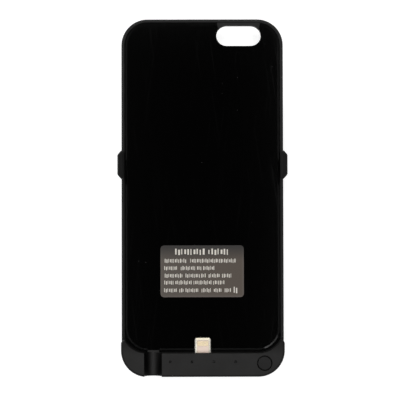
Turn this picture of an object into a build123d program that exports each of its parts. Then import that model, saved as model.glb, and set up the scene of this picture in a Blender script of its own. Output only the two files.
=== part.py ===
"""Battery charging case for a slim handset.

The case lies on its back: X across the handset, +Y towards the camera end, +Z up through the tray.
The origin is the middle of the back face. All sizes are in millimetres.
"""
from build123d import *
from math import atan2, cos, radians, sin, sqrt, tan
import os

# The handset that the case is made for
phone_length = 138.3
phone_width = 67.1
phone_thickness = 7.1
phone_corner = 10.0
phone_gap = 0.5  # room between the handset and the chin

# Outline of the body
side_margin = 0.75  # body outside the handset, on each side
top_margin = 2.35  # body past the handset's camera end
chin_depth = 9.9  # chin, along Y
body_corner = 11.0

# Walls and fits of the mouldings
back_wall = 1.5
rim_width = 1.2
rim_height = 0.8  # rim above the tray's floor
rim_chamfer = 0.4
ledge_width = 0.8  # shelf that the tray rests on
back_round = 2.6
fit_gap = 0.1

# Thin plate round the camera, and the ramp down to the battery bay
camera_plate = 2.3
camera_reach = 20.5
ramp_run = 12.0
ramp_round = 7.0
camera_slot_length = 18.9
camera_slot_width = 8.7
camera_slot_x = 15.5
camera_slot_from_top = 6.9
camera_flare = 0.8
camera_flare_angle = 45.0
flange_drop = 2.7  # foot of the slot's flange, above the slot's middle
flange_flare = 1.0  # how much wider the flange gets up to the rim, on each side

# Side clips
clip_length = 11.7
clip_taper = 1.7  # slanted ends of a clip
clip_thickness = 2.0
clip_gap = 0.2  # room between a clip and the handset
clip_hook = 0.6  # how far a hook reaches over the handset's edge
clip_rise = 0.6  # clip above the handset's front
clip_drop = 6.5  # clip below the tray's floor
clip_from_top = 62.1
clip_round = 0.9  # at the foot
clip_end_round = 1.3
crown_inset = 0.6  # bevel round a clip's top, seen from above
crown_drop = 1.1
hook_lip = 1.3

# Tray
tray_thickness = 1.3
tray_edge = 0.45  # width of the upstand
tray_chin_edge = 0.8  # width of the upstand along the chin
tray_corner = 9.4  # at the chin
tray_lap = 1.2  # how far the tray runs in under the chin
tray_chamfer = 0.5
tray_hooks = 4  # on each side
hook_length = 7.0
hook_thickness = 0.9
hook_depth = 2.4
catch_depth = 0.35
catch_height = 0.7
hook_end_gap = 9.0

# Label on the tray
label_width = 35.3
label_length = 21.9
label_thickness = 0.15
label_corner = 1.5
label_x = -0.2
label_from_chin = 34.1

# Chin cover
chin_wall = 1.2
chin_top = 1.5
chin_proud = 0.2  # chin above the handset's front
chin_chamfer = 0.7
seam_chamfer = 0.2
horn_reach = 15.3  # horn tips, from the bottom end
horn_round = 1.4
lip_depth = 1.6  # tongue that locates the chin cover inside the housing
lip_thickness = 0.8
lip_catches = 3
lip_catch_length = 3.0

# Channel for the audio plug
channel_x = -20.9
channel_width = 7.3
channel_floor = 0.8
channel_wall = 1.2
sill_width = 5.0  # channel's floor, past the chin's wall

# Battery bay
cell_thickness = 5.4
cell_side_gap = 2.1
cell_end_gap = 0.6
cell_round = 1.2
swell_gap = 0.5
foam_thickness = 0.5
foam_width = 10.0
foam_inset = 8.0
tape_thickness = 0.2
tape_inset = 6.0
terrace_length = 3.4
terrace_thickness = 0.4
tab_spacing = 18.0
tab_width = 4.0
tab_thickness = 0.15
tab_lift = 1.6
tab_reach = 2.4

# Main board
board_thickness = 1.0
board_headroom = 1.2
board_gap = 0.4
board_depth = 13.6
boss_radius = 2.1
boss_inset = 5.0
screw_radius = 0.8
screw_length = 5.0
screw_head_radius = 1.5
screw_head_height = 0.9
screw_gap = 0.05
rib_thickness = 1.0
rib_length = 11.0

# Protection board of the cells
guard_gap = 1.4  # between the main board and the protection board
guard_thickness = 0.8
guard_width = 34.0
guard_height = 10.5
guard_chip_width = 4.4
guard_chip_height = 3.0
guard_chip_thickness = 0.9
lead_radius = 0.6
lead_x = 2.6
lead_spacing = 3.4
lead_rise = 4.2
lead_inset = 0.9  # from the main board's edge

# Power button and its switch
button_radius = 2.95
button_gap = 0.15
button_edge = 5.1  # from the middle of the button to the rounded corner of the body
button_angle = 25.8
button_proud = 0.25
button_chamfer = 0.25
collar_wall = 0.9
collar_depth = 1.0
stem_radius = 1.9
switch_width = 3.6
switch_height = 3.0
switch_cover_thickness = 0.2
plunger_radius = 1.0
plunger_gap = 0.15
plunger_rise = 1.0
plunger_depth = 1.2
plunger_travel_room = 0.5

# Indicator lights
light_count = 4
light_clear = 1.65  # from the channel's wall to the first light guide
light_hole = 0.9
light_tip = 0.7
light_recess = 0.6  # tips of the guide, below the chin's top
guide_width = 1.5
guide_bar_height = 1.2
guide_gap = 0.2
led_width = 1.6
led_length = 0.8
led_height = 0.7

# Dock plug
plug_width = 6.7
plug_thickness = 1.5
plug_reach = 6.2
plug_tip_corner = 1.0
plug_core_corner = 0.5
plug_rim = 0.85  # metal frame beside the plug's core
plug_tip_rim = 1.0
plug_core_gap = 0.05
plug_slot_gap = 0.1
contact_count = 8
contact_pitch = 0.56
contact_width = 0.36
contact_length = 2.0
contact_thickness = 0.1
contact_from_tip = 1.4
collar_thickness = 0.6
collar_width = 9.4
collar_height = 4.0
plug_board_thickness = 0.8
plug_board_width = 11.5
plug_board_top_gap = 0.3
header_width = 6.0
header_depth = 1.5
header_height = 2.0

# Power output socket
output_x = -9.0
output_width = 13.1
output_height = 5.7
output_length = 14.0
output_tongue_width = 11.0
output_tongue_thickness = 1.8
output_tongue_length = 8.6
output_tongue_drop = 0.8
output_back = 3.4  # moulded block behind the tongue
output_contacts_count = 4
output_contact_pitch = 2.3
output_contact_width = 1.2
output_contact_length = 6.5

# Charging input socket
input_x = 11.0
input_width = 7.8
input_height = 2.8
input_length = 5.6
input_tongue_width = 5.2
input_tongue_thickness = 0.7
input_tongue_length = 3.2
input_tongue_drop = 0.6
input_back = 1.4
input_contacts_count = 5
input_contact_pitch = 0.65
input_contact_width = 0.35
input_contact_length = 2.4

# Both sockets
socket_wall = 0.35
socket_setback = 0.4
socket_window_gap = 0.2
socket_corner = 0.6
socket_contact_thickness = 0.12

# Parts on the main board
charge_chip_size = 5.0
charge_chip_height = 0.8
charge_chip_x = -6.0
boost_chip_length = 4.9
boost_chip_width = 3.9
boost_chip_height = 1.5
boost_chip_x = 3.5
coil_size = 7.0
coil_height = 3.6
coil_gap = 1.0  # to the switch's post and the charging socket
coil_round = 1.2
capacitor_count = 5
capacitor_length = 2.0
capacitor_width = 1.25
capacitor_height = 0.9
capacitor_pitch = 3.6
capacitor_x = 5.0

# Places that follow from the sizes above
half_width = phone_width / 2 + side_margin
body_length = chin_depth + phone_gap + phone_length + top_margin
bottom_y = -body_length / 2
top_y = body_length / 2
chin_wall_y = bottom_y + chin_depth
horn_y = bottom_y + horn_reach
sill_y = chin_wall_y + fit_gap + tray_chin_edge
shell_wall = rim_width + ledge_width

lower_cell_z = back_wall + foam_thickness
tape_z = lower_cell_z + cell_thickness
upper_cell_z = tape_z + tape_thickness
tray_base_z = upper_cell_z + cell_thickness + swell_gap
floor_z = tray_base_z + tray_thickness
rim_z = floor_z + rim_height
chin_z = floor_z + phone_thickness + chin_proud
chin_under_z = chin_z - chin_top
plate_z = tray_base_z - camera_plate

ramp_head_y = top_y - camera_reach
ramp_foot_y = ramp_head_y - ramp_run
ramp_angle = atan2(plate_z, ramp_run)
bay_foot_y = ramp_foot_y - back_wall * tan(ramp_angle / 2)
bay_head_y = bay_foot_y + (tray_base_z - back_wall) / tan(ramp_angle)

board_top_z = tray_base_z - board_headroom
board_z = board_top_z - board_thickness
board_low_y = bottom_y + shell_wall + board_gap
board_high_y = board_low_y + board_depth
board_half = half_width - shell_wall - board_gap
guard_y = board_high_y + guard_gap
terrace_y = guard_y + guard_thickness
cell_low_y = terrace_y + terrace_length
cell_high_y = bay_foot_y - cell_end_gap
cell_half = half_width - shell_wall - cell_side_gap

chin_hollow_y = chin_wall_y - chin_wall
plug_board_front_y = chin_hollow_y - collar_thickness
plug_board_back_y = plug_board_front_y - plug_board_thickness
plug_z = floor_z + phone_thickness / 2
plug_tip_y = chin_wall_y + plug_reach
plug_core_half = plug_width / 2 - plug_rim
light_y = plug_board_back_y - guide_gap - guide_width / 2
light_half = -channel_x - channel_width / 2 - channel_wall - light_clear - guide_width / 2
light_places = [light_half * (2 * n / (light_count - 1) - 1) for n in range(light_count)]

corner_x = half_width - body_corner
corner_y = bottom_y + body_corner
button_x = corner_x + (body_corner - button_edge) * sin(radians(button_angle))
button_y = corner_y - (body_corner - button_edge) * cos(radians(button_angle))
switch_top_z = board_top_z + switch_height + switch_cover_thickness
plunger_top_z = switch_top_z + plunger_rise

clip_y = top_y - clip_from_top
clip_in_x = phone_width / 2 + clip_gap
clip_out_x = clip_in_x + clip_thickness
clip_z = floor_z + phone_thickness + clip_rise
camera_slot_y = top_y - camera_slot_from_top
socket_front_y = bottom_y + socket_setback

boss_y = board_high_y - boss_inset / 2
boss_places = [(-board_half + boss_inset, boss_y), (board_half - boss_inset, boss_y)]
catch_z = floor_z - lip_depth + catch_height
tray_catch_z = tray_base_z - hook_depth + catch_height


def outline(half, low_y, high_y, low_corner, high_corner):
    """Rectangle in plan, even about X, with one corner radius at each end."""
    plan = Pos(0, (low_y + high_y) / 2) * Rectangle(2 * half, high_y - low_y)
    plan = fillet(plan.vertices().group_by(Axis.Y)[0], low_corner)
    return fillet(plan.vertices().group_by(Axis.Y)[-1], high_corner)


def body_plan(inset):
    """The body's outline, set in by a wall."""
    corner = body_corner - inset
    return outline(half_width - inset, bottom_y + inset, top_y - inset, corner, corner)


def handset_plan(outset):
    """The handset's outline at the chin, run out past the camera end."""
    corner = phone_corner + outset
    low_y = chin_wall_y + phone_gap - outset
    return outline(phone_width / 2 + outset, low_y, top_y + 2 * corner, corner, corner)


def below(limit_y):
    """Plan of everything on the plug end's side of a line across the body."""
    reach = body_length
    return Pos(0, limit_y - reach / 2) * Rectangle(4 * half_width, reach)


def slab(plan, low_z, high_z):
    """A plan raised from one height to another."""
    return extrude(Pos(0, 0, low_z) * plan, amount=high_z - low_z)


def block(x, y, z):
    """A box between two places along each axis."""
    size = (x[1] - x[0], y[1] - y[0], z[1] - z[0])
    return Pos(x[0], y[0], z[0]) * Box(*size, align=(Align.MIN, Align.MIN, Align.MIN))


def across(section, half):
    """A section in the Y and Z directions, run across the body."""
    return extrude(Plane.YZ * section, amount=half, both=True)


def both_sides(part):
    """A part and its mirror image about the middle of the body."""
    return [part, mirror(part, about=Plane.YZ)]


def camera_slot(margin):
    """Long round-ended slot for the camera and its lamp."""
    slot = SlotOverall(camera_slot_length + 2 * margin, camera_slot_width + 2 * margin)
    return Pos(camera_slot_x, camera_slot_y) * slot


def camera_flange(margin):
    """Flange of the housing between the slot and the rim, where the tray is cut away."""
    radius = camera_slot_width / 2
    foot = camera_slot_length / 2 - radius + sqrt(radius**2 - flange_drop**2) + margin
    head = foot + flange_flare
    low_y = camera_slot_y + flange_drop - margin
    high_y = top_y - rim_width / 2
    return Pos(camera_slot_x, 0) * Polygon((-foot, low_y), (foot, low_y), (head, high_y), (-head, high_y))


def hook_places():
    """Places along Y of the tray's hooks."""
    low_y = cell_low_y + hook_end_gap
    high_y = bay_foot_y - hook_end_gap
    return [low_y + (high_y - low_y) * n / (tray_hooks - 1) for n in range(tray_hooks)]


def lip_catch_places():
    """Places along X of the catches that hold the chin cover."""
    return [(n - (lip_catches - 1) / 2) * corner_x / lip_catches for n in range(lip_catches)]


def side_clip():
    """Clip on the right: a springy wall with a hook over the handset's edge."""
    hook_x = phone_width / 2 - clip_hook
    hook_z = clip_z - hook_lip
    root_x = half_width - rim_width / 2
    bulge = clip_out_x - half_width
    section = Polygon(
        (root_x, floor_z - clip_drop),
        (half_width, floor_z - clip_drop),
        (clip_out_x, floor_z - clip_drop + bulge),
        (clip_out_x, clip_z),
        (hook_x, clip_z),
        (hook_x, hook_z),
        (clip_in_x, hook_z - (clip_in_x - hook_x)),
        (clip_in_x, floor_z),
        (root_x, floor_z),
    )
    section = fillet(section.vertices().group_by(Axis.X)[-1].sort_by(Axis.Y)[0], clip_round)
    wall = Pos(0, clip_y) * extrude(Plane.XZ * section, amount=clip_length / 2, both=True)
    half = clip_length / 2
    top_view = Polygon(
        (hook_x, clip_y - half),
        (half_width, clip_y - half),
        (clip_out_x, clip_y - half + clip_taper),
        (clip_out_x, clip_y + half - clip_taper),
        (half_width, clip_y + half),
        (hook_x, clip_y + half),
    )
    top_view = fillet(top_view.vertices().group_by(Axis.X)[-1], clip_end_round)
    clip = wall & slab(top_view, floor_z - clip_drop, clip_z)
    crown = clip.faces().sort_by(Axis.Z)[-1]
    return chamfer(crown.edges(), crown_inset, crown_drop, reference=crown)


def is_back_edge(edge):
    """True for the edges between the body's sides and its back."""
    nearly_one = 0.99
    middle = edge.position_at(0.5)
    along = edge.tangent_at(0.5)
    upright = abs(along.Z) > nearly_one
    crosses_back = abs(along.X) > nearly_one and abs(middle.Y) < top_y - rim_width
    return middle.Z < rim_z - rim_height / 2 and not upright and not crosses_back


def body_form():
    """Outer form of the housing: plan outline and side view, with rounded back edges."""
    side = Polygon(
        (bottom_y, 0),
        (ramp_foot_y, 0),
        (ramp_head_y, plate_z),
        (top_y, plate_z),
        (top_y, rim_z),
        (bottom_y, rim_z),
    )
    bends = side.vertices().filter_by_position(Axis.X, ramp_foot_y, ramp_head_y)
    side = fillet(bends, ramp_round)
    form = across(side, 2 * half_width) & slab(body_plan(0), 0, rim_z)
    form = fillet([edge for edge in form.edges() if is_back_edge(edge)], back_round)
    return chamfer(form.edges().group_by(Axis.Z)[-1], rim_chamfer)


def battery_bay():
    """Space inside the housing for the cells and the main board."""
    side = Polygon(
        (bottom_y, back_wall),
        (bay_foot_y, back_wall),
        (bay_head_y, tray_base_z),
        (bottom_y, tray_base_z),
    )
    bay = across(side, 2 * half_width) & slab(body_plan(shell_wall), back_wall, tray_base_z)
    return bay + slab(body_plan(shell_wall) & below(chin_wall_y), back_wall, rim_z)


def socket_window(x, width, height):
    """Opening in the end wall for a socket that hangs under the main board."""
    grow = socket_window_gap
    section = Pos(x, board_z - height / 2) * RectangleRounded(
        width + 2 * grow, height + 2 * grow, socket_corner + grow
    )
    return Pos(0, bottom_y) * extrude(Plane.XZ * section, amount=shell_wall, both=True)


def back_housing():
    """Back moulding: battery bay, rim, ramp to the camera plate, clips and board bosses."""
    shell = body_form() - battery_bay()
    tray_seat = body_plan(rim_width) & handset_plan(phone_gap + tray_lap + fit_gap)
    shell -= slab(tray_seat, tray_base_z, rim_z + rim_height)
    chin_seat_y = (bottom_y - rim_width, horn_y)
    shell -= block((-half_width, half_width), chin_seat_y, (floor_z, rim_z + rim_height))
    shell += both_sides(side_clip())
    shell += slab(camera_flange(0), tray_base_z, floor_z)
    shell -= slab(camera_slot(0), plate_z - camera_plate, rim_z)
    flare = Pos(0, 0, plate_z) * camera_slot(camera_flare)
    shell -= extrude(flare, amount=camera_flare, taper=camera_flare_angle)
    shell -= socket_window(output_x, output_width, output_height)
    shell -= socket_window(input_x, input_width, input_height)
    for x, y in boss_places:
        shell += slab(Pos(x, y) * Circle(boss_radius), back_wall / 2, board_z)
        pilot = Pos(x, y) * Circle(screw_radius + screw_gap)
        shell -= slab(pilot, board_top_z - screw_length - screw_gap, board_z)
    post = Pos(button_x, button_y) * Rectangle(switch_width, switch_width)
    shell += slab(post, back_wall / 2, board_z)
    rib_x = (half_width - shell_wall - rib_length, half_width - rim_width)
    rib_y = (guard_y - rib_thickness, guard_y)
    shell += both_sides(block(rib_x, rib_y, (back_wall / 2, tray_base_z)))
    wall_x = half_width - shell_wall
    for y in hook_places():
        pocket_y = (y - hook_length / 2 - fit_gap, y + hook_length / 2 + fit_gap)
        pocket_z = (tray_catch_z - catch_height - fit_gap, tray_catch_z + fit_gap)
        shell -= both_sides(block((wall_x - fit_gap, wall_x + catch_depth), pocket_y, pocket_z))
    end_y = bottom_y + shell_wall
    for x in lip_catch_places():
        pocket_x = (x - lip_catch_length / 2 - fit_gap, x + lip_catch_length / 2 + fit_gap)
        pocket_z = (catch_z - catch_height - fit_gap, catch_z + fit_gap)
        shell -= block(pocket_x, (end_y - catch_depth, end_y + fit_gap), pocket_z)
    return shell


def phone_tray():
    """Glossy plate under the handset, with a low upstand that slopes into the floor."""
    inset = rim_width + fit_gap
    base = body_plan(inset) & handset_plan(phone_gap + tray_lap)
    upstand = body_plan(inset) & handset_plan(phone_gap - fit_gap)
    tray = slab(base, tray_base_z, floor_z) + slab(upstand, floor_z, rim_z)
    pocket_corner = body_corner - inset - tray_edge
    pocket = outline(
        half_width - inset - tray_edge, sill_y, top_y - inset - tray_edge, tray_corner, pocket_corner
    )
    hollow = slab(pocket, floor_z, rim_z + rim_height)
    tray -= chamfer(hollow.edges().group_by(Axis.Z)[0], tray_chamfer)
    tray -= slab(camera_slot(0) + camera_flange(fit_gap), tray_base_z - fit_gap, rim_z)
    sill_half = sill_width / 2 + fit_gap
    sill_x = (channel_x - sill_half, channel_x + sill_half)
    tray -= block(sill_x, (chin_wall_y, sill_y + tray_chamfer), (floor_z, rim_z))
    leg_out = half_width - shell_wall - fit_gap
    for y in hook_places():
        hook_y = (y - hook_length / 2, y + hook_length / 2)
        leg_z = (tray_base_z - hook_depth, floor_z - tray_thickness / 2)
        catch_zs = (tray_catch_z - catch_height, tray_catch_z)
        leg = block((leg_out - hook_thickness, leg_out), hook_y, leg_z)
        leg += block((leg_out - hook_thickness, leg_out + catch_depth), hook_y, catch_zs)
        tray += both_sides(leg)
    return tray


def channel_section():
    """Round-bottomed section of the audio channel, open at the top."""
    radius = channel_width / 2
    middle_z = floor_z + channel_floor + radius
    rise = 2 * (chin_z - middle_z)
    upper = Pos(channel_x, middle_z + rise / 2) * Rectangle(2 * radius, rise)
    return upper + Pos(channel_x, middle_z) * Circle(radius)


def chin_form():
    """Outer form of the chin: the body's end, hollowed for the handset, which leaves a horn at each side."""
    plan = body_plan(0) & below(horn_y)
    plan = fillet(plan.vertices().group_by(Axis.Y)[-1], horn_round)
    form = slab(plan, floor_z, chin_z)
    form = chamfer(form.edges().group_by(Axis.Z)[-1], chin_chamfer)
    form = chamfer(form.edges().group_by(Axis.Z)[0], seam_chamfer)
    return form - slab(handset_plan(phone_gap), floor_z - rim_height, chin_z + rim_height)


def chin_lip():
    """Tongue under the chin cover that locates it inside the housing's end wall."""
    out_y = bottom_y + shell_wall + fit_gap
    in_y = out_y + lip_thickness
    span = (-corner_x, corner_x - 2 * switch_width)
    lip = block(span, (out_y, in_y), (floor_z - lip_depth, floor_z + lip_thickness))
    lip += block(span, (bottom_y + chin_wall / 2, in_y), (floor_z, floor_z + lip_thickness))
    for x in lip_catch_places():
        catch_x = (x - lip_catch_length / 2, x + lip_catch_length / 2)
        lip += block(catch_x, (out_y - catch_depth, in_y), (catch_z - catch_height, catch_z))
    return lip


def chin_cover():
    """Cover over the plug end, with its audio channel, pinholes, button hole and plug slot."""
    form = chin_form()
    hollow_plan = body_plan(chin_wall) & below(chin_hollow_y)
    cover = form - slab(hollow_plan, floor_z - rim_height, chin_under_z)
    channel_half = channel_width / 2 + channel_wall
    channel_x_range = (channel_x - channel_half, channel_x + channel_half)
    cover += form & block(channel_x_range, (bottom_y, chin_wall_y), (floor_z, chin_z))
    button = Pos(button_x, button_y)
    hole_radius = button_radius + button_gap
    collar = slab(button * Circle(hole_radius + collar_wall), chin_under_z - collar_depth, chin_z)
    cover += form & collar
    cover += chin_lip()
    channel = extrude(Plane.XZ * channel_section(), amount=2 * chin_depth, both=True)
    cover -= Pos(0, bottom_y) * channel
    sill_x = (channel_x - sill_width / 2, channel_x + sill_width / 2)
    cover += block(sill_x, (chin_wall_y - chin_wall / 2, sill_y), (floor_z, floor_z + channel_floor))
    cover -= slab(button * Circle(hole_radius), chin_under_z - collar_depth, chin_z)
    for x in light_places:
        cover -= slab(Pos(x, light_y) * Circle(light_hole / 2), chin_under_z, chin_z)
    grow = 2 * plug_slot_gap
    slot = Pos(0, plug_z) * SlotOverall(plug_width + grow, plug_thickness + grow)
    cover -= Pos(0, chin_wall_y) * extrude(Plane.XZ * slot, amount=chin_wall + fit_gap, both=True)
    return cover


def rating_label():
    """Thin label stuck to the tray."""
    plan = RectangleRounded(label_width, label_length, label_corner)
    place = Pos(label_x, chin_wall_y + label_from_chin)
    return slab(place * plan, floor_z, floor_z + label_thickness)


def power_button():
    """Button cap with a chamfered top and a stem that sits on the switch."""
    top_z = chin_z + button_proud
    cap_z = chin_under_z - collar_depth / 2
    profile = Polygon(
        (0, plunger_top_z),
        (stem_radius, plunger_top_z),
        (stem_radius, cap_z),
        (button_radius, cap_z),
        (button_radius, top_z - button_chamfer),
        (button_radius - button_chamfer, top_z),
        (0, top_z),
    )
    return Pos(button_x, button_y) * revolve(Plane.XZ * profile, Axis.Z)


def switch_body():
    """Moulded body of the push switch, bored for its plunger."""
    plan = Pos(button_x, button_y) * Rectangle(switch_width, switch_width)
    bore = Pos(button_x, button_y) * Circle(plunger_radius + plunger_gap)
    body_top_z = board_top_z + switch_height
    depth = plunger_depth + plunger_travel_room
    return slab(plan, board_top_z, body_top_z) - slab(bore, body_top_z - depth, body_top_z)


def switch_cover():
    """Steel plate that closes the switch round its plunger."""
    plan = Rectangle(switch_width, switch_width) - Circle(plunger_radius + plunger_gap)
    return slab(Pos(button_x, button_y) * plan, board_top_z + switch_height, switch_top_z)


def switch_plunger():
    """Plunger of the switch, under the button's stem."""
    plan = Pos(button_x, button_y) * Circle(plunger_radius)
    return slab(plan, board_top_z + switch_height - plunger_depth, plunger_top_z)


def light_guide():
    """Clear moulding: one bar under the chin's top, with a square rod and a round tip for each light."""
    bar_z = chin_under_z - guide_bar_height
    bar = Pos(0, light_y) * Rectangle(2 * light_half + guide_width, guide_width)
    guide = slab(bar, bar_z, chin_under_z)
    rod_z = board_top_z + led_height + guide_gap
    for x in light_places:
        guide += slab(Pos(x, light_y) * Rectangle(guide_width, guide_width), rod_z, bar_z)
        guide += slab(Pos(x, light_y) * Circle(light_tip / 2), chin_under_z, chin_z - light_recess)
    return guide


def indicator_leds():
    """Small LED chips on the main board, one under each rod of the light guide."""
    plan = Rectangle(led_width, led_length)
    return [slab(Pos(x, light_y) * plan, board_top_z, board_top_z + led_height) for x in light_places]


def plug_bar(half, low_y, high_y, thickness, corner):
    """Flat bar with round edges at the plug's height, rounded in plan at its tip."""
    plan = Pos(0, (low_y + high_y) / 2) * Rectangle(2 * half, high_y - low_y)
    plan = fillet(plan.vertices().group_by(Axis.Y)[-1], corner)
    return slab(plan, plug_z - thickness / 2, plug_z + thickness / 2)


def plug_frame():
    """Metal frame of the dock plug, open in the middle for the moulded core."""
    section = Pos(0, plug_z) * SlotOverall(plug_width, plug_thickness)
    bar_length = plug_tip_y - plug_board_front_y
    bar = Pos(0, plug_tip_y) * extrude(Plane.XZ * section, amount=bar_length)
    bar = bar & plug_bar(plug_width / 2, plug_board_front_y, plug_tip_y, plug_thickness, plug_tip_corner)
    core_tip_y = plug_tip_y - plug_tip_rim
    through = 2 * plug_thickness
    return bar - plug_bar(plug_core_half, plug_board_front_y, core_tip_y, through, plug_core_corner)


def plug_insert():
    """Moulded core of the plug, a little thinner than the frame so that the contacts lie flush."""
    half = plug_core_half - plug_core_gap
    tip_y = plug_tip_y - plug_tip_rim - plug_core_gap
    thickness = plug_thickness - 2 * contact_thickness
    return plug_bar(half, plug_board_front_y, tip_y, thickness, plug_core_corner - plug_core_gap)


def plug_contacts():
    """Gold contacts in a row on both faces of the plug's core."""
    tip_y = plug_tip_y - contact_from_tip
    top_z = plug_z + plug_thickness / 2
    contacts = []
    for n in range(contact_count):
        x = (n - (contact_count - 1) / 2) * contact_pitch
        x_range = (x - contact_width / 2, x + contact_width / 2)
        upper = block(x_range, (tip_y - contact_length, tip_y), (top_z - contact_thickness, top_z))
        contacts += [upper, mirror(upper, about=Plane.XY.offset(plug_z))]
    return contacts


def plug_collar():
    """Moulded collar round the root of the plug, between the chin wall and the plug board."""
    x_range = (-collar_width / 2, collar_width / 2)
    z_range = (plug_z - collar_height / 2, plug_z + collar_height / 2)
    collar = block(x_range, (plug_board_front_y, chin_hollow_y), z_range)
    grow = 2 * plug_slot_gap
    slot = Pos(0, plug_z) * SlotOverall(plug_width + grow, plug_thickness + grow)
    hole = extrude(Plane.XZ * slot, amount=2 * collar_thickness, both=True)
    return collar - Pos(0, chin_hollow_y) * hole


def plug_board():
    """Upright circuit board that carries the plug, standing on the main board."""
    x_range = (-plug_board_width / 2, plug_board_width / 2)
    z_range = (board_top_z, chin_under_z - plug_board_top_gap)
    return block(x_range, (plug_board_back_y, plug_board_front_y), z_range)


def board_header():
    """Header block that joins the plug board to the main board."""
    x_range = (-header_width / 2, header_width / 2)
    y_range = (plug_board_back_y - header_depth, plug_board_back_y)
    return block(x_range, y_range, (board_top_z, board_top_z + header_height))


def main_board():
    """Circuit board on the bosses, shaped to the housing's end."""
    strip = Pos(0, (board_low_y + board_high_y) / 2) * Rectangle(2 * half_width, board_depth)
    plan = body_plan(shell_wall + board_gap) & strip
    for x, y in boss_places:
        plan -= Pos(x, y) * Circle(screw_radius + screw_gap)
    return slab(plan, board_z, board_top_z)


def board_screws():
    """Screws with flat round heads, one in each boss."""
    screws = []
    for x, y in boss_places:
        head = slab(Circle(screw_head_radius), board_top_z, board_top_z + screw_head_height)
        shank = slab(Circle(screw_radius), board_top_z - screw_length, board_top_z)
        screws.append(Pos(x, y) * (head + shank))
    return screws


def charge_chip():
    """Square charge controller on top of the main board."""
    half = charge_chip_size / 2
    high_y = board_high_y - board_gap
    x_range = (charge_chip_x - half, charge_chip_x + half)
    y_range = (high_y - charge_chip_size, high_y)
    return block(x_range, y_range, (board_top_z, board_top_z + charge_chip_height))


def boost_chip():
    """Boost converter chip under the main board."""
    middle_y = (board_low_y + board_high_y) / 2
    x_range = (boost_chip_x - boost_chip_length / 2, boost_chip_x + boost_chip_length / 2)
    y_range = (middle_y - boost_chip_width / 2, middle_y + boost_chip_width / 2)
    return block(x_range, y_range, (board_z - boost_chip_height, board_z))


def boost_coil():
    """Shielded coil of the boost converter under the main board."""
    x = button_x - switch_width / 2 - coil_gap - coil_size / 2
    y = socket_front_y + input_length + coil_gap + coil_size / 2
    plan = Pos(x, y) * RectangleRounded(coil_size, coil_size, coil_round)
    return slab(plan, board_z - coil_height, board_z)


def capacitors():
    """Row of small capacitors on top of the main board."""
    high_y = board_high_y - board_gap
    row = []
    for n in range(capacitor_count):
        x = capacitor_x + n * capacitor_pitch
        x_range = (x - capacitor_width / 2, x + capacitor_width / 2)
        y_range = (high_y - capacitor_length, high_y)
        row.append(block(x_range, y_range, (board_top_z, board_top_z + capacitor_height)))
    return row


def socket_shell(x, width, height, length):
    """Folded steel shell of a socket under the main board, open at the end wall."""
    middle_z = board_z - height / 2
    place = Pos(x, middle_z)
    grow = -2 * socket_wall
    section = place * RectangleRounded(width, height, socket_corner)
    inner = place * RectangleRounded(width + grow, height + grow, socket_corner - socket_wall)
    shell = extrude(Plane.XZ * section, amount=-length)
    hollow = extrude(Plane.XZ * inner, amount=socket_wall - length)
    return Pos(0, socket_front_y) * (shell - hollow)


def socket_tongue(x, tongue, drop, back, shell):
    """Moulded tongue of a socket with the block that holds it at the shell's closed end."""
    width, thickness, length = tongue
    shell_width, shell_height, shell_length = shell
    back_y = socket_front_y + shell_length - socket_wall
    inner_half = shell_width / 2 - socket_wall - fit_gap
    low_z = board_z - shell_height + socket_wall + fit_gap
    high_z = board_z - socket_wall - fit_gap
    holder = block((x - inner_half, x + inner_half), (back_y - back, back_y), (low_z, high_z))
    tongue_top_z = high_z - drop
    tongue_y = (back_y - back - length, back_y)
    blade = block((x - width / 2, x + width / 2), tongue_y, (tongue_top_z - thickness, tongue_top_z))
    return holder + blade


def socket_contacts(x, tongue, drop, back, shell, row):
    """Spring contacts in a row under a socket's tongue."""
    _, thickness, _ = tongue
    _, _, shell_length = shell
    count, pitch, width, length = row
    top_z = board_z - socket_wall - fit_gap - drop - thickness
    back_y = socket_front_y + shell_length - socket_wall - back
    contacts = []
    for n in range(count):
        middle_x = x + (n - (count - 1) / 2) * pitch
        x_range = (middle_x - width / 2, middle_x + width / 2)
        z_range = (top_z - socket_contact_thickness, top_z)
        contacts.append(block(x_range, (back_y - length, back_y), z_range))
    return contacts


output_shell_size = (output_width, output_height, output_length)
output_tongue_size = (output_tongue_width, output_tongue_thickness, output_tongue_length)
output_row = (output_contacts_count, output_contact_pitch, output_contact_width, output_contact_length)
input_shell_size = (input_width, input_height, input_length)
input_tongue_size = (input_tongue_width, input_tongue_thickness, input_tongue_length)
input_row = (input_contacts_count, input_contact_pitch, input_contact_width, input_contact_length)


def output_shell():
    """Steel shell of the power output socket."""
    return socket_shell(output_x, output_width, output_height, output_length)


def output_tongue():
    """Tongue of the power output socket."""
    return socket_tongue(output_x, output_tongue_size, output_tongue_drop, output_back, output_shell_size)


def output_contacts():
    """Contacts of the power output socket."""
    place = (output_x, output_tongue_size, output_tongue_drop, output_back, output_shell_size)
    return socket_contacts(*place, output_row)


def input_shell():
    """Steel shell of the charging input socket."""
    return socket_shell(input_x, input_width, input_height, input_length)


def input_tongue():
    """Tongue of the charging input socket."""
    return socket_tongue(input_x, input_tongue_size, input_tongue_drop, input_back, input_shell_size)


def input_contacts():
    """Contacts of the charging input socket."""
    place = (input_x, input_tongue_size, input_tongue_drop, input_back, input_shell_size)
    return socket_contacts(*place, input_row)


def pouch_cell(low_z):
    """Flat pouch cell with rounded long edges and a thin sealed terrace at the tab end."""
    middle_z = low_z + cell_thickness / 2
    section = Pos(0, middle_z) * RectangleRounded(2 * cell_half, cell_thickness, cell_round)
    body = Pos(0, cell_low_y) * extrude(Plane.XZ * section, amount=cell_low_y - cell_high_y)
    terrace_half = cell_half - cell_round
    terrace_z = (middle_z - terrace_thickness / 2, middle_z + terrace_thickness / 2)
    return body + block((-terrace_half, terrace_half), (terrace_y, cell_low_y), terrace_z)


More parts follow.
